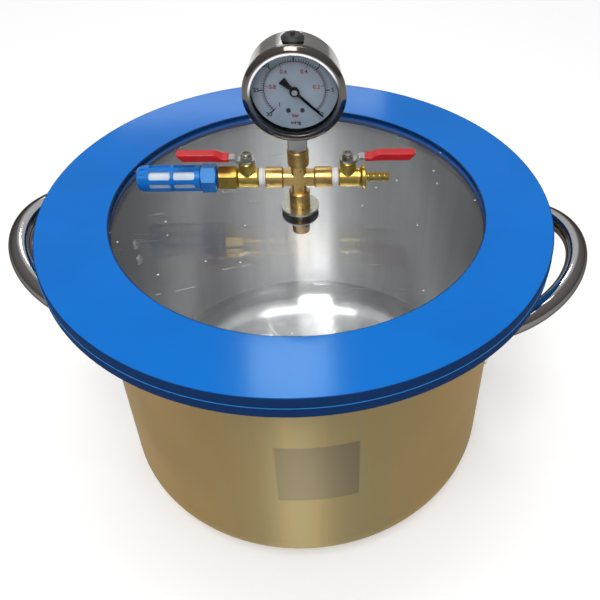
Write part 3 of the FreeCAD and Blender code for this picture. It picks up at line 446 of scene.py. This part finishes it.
def rubbedLid():
    clear, both = seeThrough("lidAcrylic", lidFinish, "lid")
    rubs = clear.noise(1.0, lidFinish["rubs"], detail=4)   # fine and mostly one way
    places = clear.noise(lidFinish["rubPlaces"], detail=2)
    clear.set("Roughness", rubs.between(*lidFinish["rubPair"]) * places.between(*lidFinish["rubPlacePair"])
              * lidFinish["rubRougher"])
    x, y, z = clear.apart(clear.place())
    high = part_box("lid")[1]
    top = z > high.z - lidFinish["skin"]
    scratches = lidScratches(clear, x, y) * lidFinish["scratchShare"]
    marks = (lidSpecks(clear) * lidFinish["speckShare"]).greater(scratches) * top
    dust = clear.add("ShaderNodeBsdfDiffuse", sockets={"Color": lidFinish["dust"]})
    clear.show(clear.add("ShaderNodeMixShader", sockets={0: marks, 1: both, 2: dust}))


satin = {
    "grain": 900, "grainStretch": (1, 1, 0.15), "grainRougher": 0.14, "grainBump": (0.10, 0.0001),
    "blotches": 45, "blotchPair": (0.3, 0.75), "blotchShade": 0.78,
}
satinSteels = {
    "earSteel": {"colour": (0.60, 0.57, 0.50), "roughness": 0.28,
                 "pieces": ("handle_ears_left", "handle_ears_right")},
    "rivetSteel": {"colour": (0.66, 0.65, 0.62), "roughness": 0.22,
                   "pieces": ("handle_rivets_left", "handle_rivets_right")},
    "washerSteel": {"colour": (0.60, 0.59, 0.50), "roughness": 0.22, "pieces": ("top_washer",)},
    "shankSteel": {"colour": (0.50, 0.50, 0.47), "roughness": 0.3, "pieces": ("gauge_socket",)},
    "leverSteel": {"colour": (0.66, 0.66, 0.64), "roughness": 0.14,
                   "pieces": ("lever_left", "lever_right")},
    "leverNutSteel": {"colour": (0.40, 0.39, 0.33), "roughness": 0.1,
                      "pieces": ("lever_nut_left", "lever_nut_right", "valve_stem_left",
                                 "valve_stem_right")},
    "dialSteel": {"colour": (0.42, 0.42, 0.41), "roughness": 0.24, "pieces": ("needle_arbor",)},
    "screwSteel": {"colour": (0.08, 0.08, 0.085), "roughness": 0.24, "pieces": ("dial_screws",)},
    "caseSteel": {"colour": (0.50, 0.48, 0.46), "roughness": 0.08, "pieces": ("gauge_case",)},
    "ballNickel": {"colour": (0.7, 0.7, 0.7), "roughness": 0.1,
                   "pieces": ("valve_ball_left", "valve_ball_right")},
}


def satinSteel(name, colour, roughness, pieces):
    steel = Finish(name, Metallic=1.0)
    grain = steel.noise(satin["grain"], satin["grainStretch"])
    blotches = steel.noise(satin["blotches"]).between(*satin["blotchPair"])
    steel.set("Base Color", steel.mix(blotches, colour, shaded(colour, satin["blotchShade"])))
    steel.set("Roughness", roughness + grain * satin["grainRougher"])
    steel.bump(grain, *satin["grainBump"])
    steel.put(*pieces)


brass = {
    "tarnish": 120, "tarnishPair": (0.45, 0.8), "brown": (0.62, 0.52, 0.42), "tarnishRougher": 0.16,
    "bump": 0.35,
}
yellowBrasses = {
    "crossBrass": {"colour": (0.60, 0.41, 0.15), "roughness": 0.22, "grain": 1500, "depth": 0.0002,
                   "pieces": ("cross",)},
    "valveBrass": {"colour": (0.56, 0.41, 0.10), "roughness": 0.22, "grain": 700, "depth": 0.0001,
                   "pieces": ("valve_body_left", "valve_body_right", "valve_socket", "hose_barb")},
    "movementBrass": {"colour": (0.80, 0.62, 0.30), "roughness": 0.18, "grain": 900, "depth": 0.0001,
                      "pieces": ("sector_gear", "sector_arbor", "movement_posts",
                                 "movement_front_plate", "movement_back_plate", "sector_link",
                                 "bourdon_tube")},
}


def tarnishedBrass(name, colour, roughness, pieces):
    metal = Finish(name, Metallic=1.0)
    tarnish = metal.noise(brass["tarnish"], detail=5)
    brown = tuple(c * share for c, share in zip(colour, brass["brown"]))
    metal.set("Base Color", metal.mix(tarnish.between(*brass["tarnishPair"]), colour, brown))
    metal.set("Roughness", roughness + tarnish * brass["tarnishRougher"])
    metal.put(*pieces)
    return metal


def yellowBrass(name, grain, depth, **look):
    metal = tarnishedBrass(name, **look)
    metal.bump(metal.noise(grain, detail=4), brass["bump"], depth)


nippleFinish = {"colour": (0.48, 0.33, 0.19), "roughness": 0.3, "pieces": ("lid_nipple",)}
nippleRidges = {"pitch": 6700, "bump": (0.8, 0.0003)}   # radians for each metre, then strength and depth


def nippleThread():
    metal = tarnishedBrass("nippleBrass", **nippleFinish)
    height = metal.apart(metal.place())[2]
    metal.bump((height * nippleRidges["pitch"]).sine(), *nippleRidges["bump"])


tapeFinish = {
    "shadow": (0.80, 0.80, 0.79), "white": (0.97, 0.97, 0.96), "shine": 0.4, "roughness": 0.45,
    "wraps": 5200, "wrapPair": (-1.2, -0.3), "wrapBump": (0.5, 0.0003),   # radians for each metre
    "wander": 260, "wanderShift": 5, "wanderLift": 2,
}


def threadTape():
    tape = Finish("threadTape", Specular_IOR_Level=tapeFinish["shine"], Roughness=tapeFinish["roughness"])
    along = tape.apart(tape.place())[0]
    wander = tape.noise(tapeFinish["wander"])
    wraps = (along * tapeFinish["wraps"] + wander * tapeFinish["wanderShift"]).sine()
    shade = wraps.between(*tapeFinish["wrapPair"])
    tape.set("Base Color", tape.mix(shade, tapeFinish["shadow"], tapeFinish["white"]))
    tape.bump(wraps + wander * tapeFinish["wanderLift"], *tapeFinish["wrapBump"])
    tape.put("thread_tape_left", "thread_tape_right")


moulded = {"clouds": 70, "cloudPair": (0.3, 0.75), "cloudShade": 0.88, "grainRougher": 0.12, "bump": 0.3}
mouldings = {
    "ptfe": {"colour": (0.93, 0.93, 0.91), "roughness": 0.5, "grain": 500, "depth": 0.0003,
             "pieces": ("valve_seats_left", "valve_seats_right", "stem_packing_left",
                        "stem_packing_right")},
    "blackRubber": {"colour": (0.02, 0.02, 0.022), "roughness": 0.45, "grain": 700, "depth": 0.0002,
                    "pieces": ("sealing_washer", "window_seal", "filler_plug")},
    "nutNickel": {"colour": (0.50, 0.53, 0.60), "roughness": 0.3, "grain": 500, "depth": 0.0002,
                  "pieces": ("lock_nut",), "Metallic": 0.4},
    "gripVinyl": {"colour": (0.58, 0.008, 0.014), "roughness": 0.25, "grain": 300, "depth": 0.0003,
                  "pieces": ("lever_grip_left", "lever_grip_right"),
                  "Specular_IOR_Level": 0.3, "Coat_Weight": 0.35, "Coat_Roughness": 0.04},
    "silencerBlue": {"colour": (0.006, 0.165, 0.60), "roughness": 0.2, "grain": 400, "depth": 0.0002,
                     "pieces": ("silencer_body", "silencer_cap"),
                     "Specular_IOR_Level": 0.4, "Specular_Tint": (0.35, 0.85, 1.0), "Coat_Weight": 0.08},
    "filterWhite": {"colour": (0.74, 0.82, 0.90), "roughness": 0.6, "grain": 1200, "depth": 0.0004,
                    "pieces": ("silencer_element",)},
    "dialPaint": {"colour": (0.25, 0.30, 0.36), "roughness": 0.5, "grain": 900, "depth": 0.0001,
                  "pieces": ("gauge_dial",)},
    "needlePaint": {"colour": (0.003, 0.003, 0.004), "roughness": 0.8, "grain": 900, "depth": 0.0001,
                    "pieces": ("gauge_needle",), "Specular_IOR_Level": 0.0},
}


def plain(name, colour, roughness, grain, depth, pieces, **fixed):
    finish = Finish(name, **fixed)
    clouds = finish.noise(moulded["clouds"]).between(*moulded["cloudPair"])
    finish.set("Base Color", finish.mix(clouds, colour, shaded(colour, moulded["cloudShade"])))
    grains = finish.noise(grain)
    finish.set("Roughness", roughness + grains * moulded["grainRougher"])
    finish.bump(grains, moulded["bump"], depth)
    finish.put(*pieces)


potSteel()
polishedTube()
bezelSteel()
ringSilicone()
rubbedLid()
seeThrough("gaugeGlass", windowFinish, "gauge_window")
for name, look in satinSteels.items():
    satinSteel(name, **look)
for name, look in yellowBrasses.items():
    yellowBrass(name, **look)
nippleThread()
threadTape()
for name, look in mouldings.items():
    plain(name, **look)
print("finishes on")


dial = {
    "lift": 0.00005, "bold": 0.00009,
    "ink": {"black": (0.008, 0.008, 0.012), "red": (0.17, 0.012, 0.025)},
    "inkRoughness": 0.45, "wear": 2500, "wearShade": 1.6, "wearRougher": 0.2,
    "start": -45, "sweep": 270,   # degrees anticlockwise from the right
    "marks": [  # ink, inner radius, outer radius, width, steps
        ("black", 0.0200, 0.0204, 0.00056, 180), ("black", 0.0202, 0.0220, 0.0005, 60),
        ("black", 0.0202, 0.0230, 0.0009, 6), ("red", 0.0188, 0.0200, 0.0004, 50),
        ("red", 0.0178, 0.0200, 0.0006, 5)],
    "numbers": [  # ink, radius, size, words from the start to the end of the scale
        ("black", 0.0250, 0.0041, ("0", "5", "10", "15", "20", "25", "30")),
        ("red", 0.0146, 0.0040, ("", "0.2", "0.4", "0.6", "0.8", "1"))],
    "units": [  # ink, distance below the middle, size, word
        ("red", 0.0185, 0.0036, "bar"), ("black", 0.0240, 0.0036, "inHg")],
}


def writeOnDial(words, across, up, size):
    bpy.ops.object.select_all(action="DESELECT")
    bpy.ops.object.text_add()
    text = bpy.context.object
    text.data.body = words
    text.data.size = size
    text.data.offset = dial["bold"]
    text.data.align_x, text.data.align_y = "CENTER", "CENTER"
    bpy.ops.object.convert(target="MESH")
    text = bpy.context.object
    text.data.transform(Matrix.Translation((across, up, 0)))
    return text


def scaleMarks(inner, outer, width, steps):
    bpy.ops.object.select_all(action="DESELECT")
    bpy.ops.mesh.primitive_plane_add(size=1, location=((inner + outer) / 2, 0, 0))
    bpy.ops.object.mode_set(mode="EDIT")
    bpy.ops.transform.resize(value=(outer - inner, width, 1))
    bpy.ops.transform.rotate(value=math.radians(-dial["start"]), orient_axis="Z",
                             center_override=(0, 0, 0))
    bpy.ops.mesh.spin(steps=steps, dupli=True, angle=math.radians(dial["sweep"]),
                      center=(0, 0, 0), axis=(0, 0, -1))
    bpy.ops.object.mode_set(mode="OBJECT")
    marks = bpy.context.object
    bpy.ops.object.transform_apply(location=True, rotation=True, scale=True)
    return marks


def joined(pieces, name):
    bpy.ops.object.select_all(action="DESELECT")
    for piece in pieces:
        piece.select_set(True)
    bpy.context.view_layer.objects.active = pieces[0]
    bpy.ops.object.join()
    pieces[0].name = name
    return pieces[0]


def dialInk(name, colour):
    paint = Finish(name, Specular_IOR_Level=0.0)
    wear = paint.noise(dial["wear"], detail=2)
    paint.set("Base Color", paint.mix(wear, colour, shaded(colour, dial["wearShade"])))
    paint.set("Roughness", dial["inkRoughness"] + wear * dial["wearRougher"])
    return paint.material


def dialPrint():
    drawn = {"black": [], "red": []}
    for ink, inner, outer, width, steps in dial["marks"]:
        drawn[ink].append(scaleMarks(inner, outer, width, steps))
    for ink, radius, size, words in dial["numbers"]:
        for i, word in enumerate(words):
            if not word:
                continue
            angle = math.radians(dial["start"] + dial["sweep"] * i / (len(words) - 1))
            drawn[ink].append(writeOnDial(word, radius * math.cos(angle), radius * math.sin(angle), size))
    for ink, drop, size, word in dial["units"]:
        drawn[ink].append(writeOnDial(word, 0, -drop, size))
    low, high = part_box("gauge_dial")
    face = Matrix.Translation(((low.x + high.x) / 2, low.y - dial["lift"], (low.z + high.z) / 2))
    upright = Matrix.Rotation(math.radians(90), 4, "X")
    for ink, pieces in drawn.items():
        piece = joined(pieces, "dialPrint" + ink.capitalize())
        piece.data.transform(face @ upright)
        piece.data.materials.clear()
        piece.data.materials.append(dialInk("dialInk" + ink.capitalize(), dial["ink"][ink]))
        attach(piece, "base")


dialPrint()
print("dial printed")
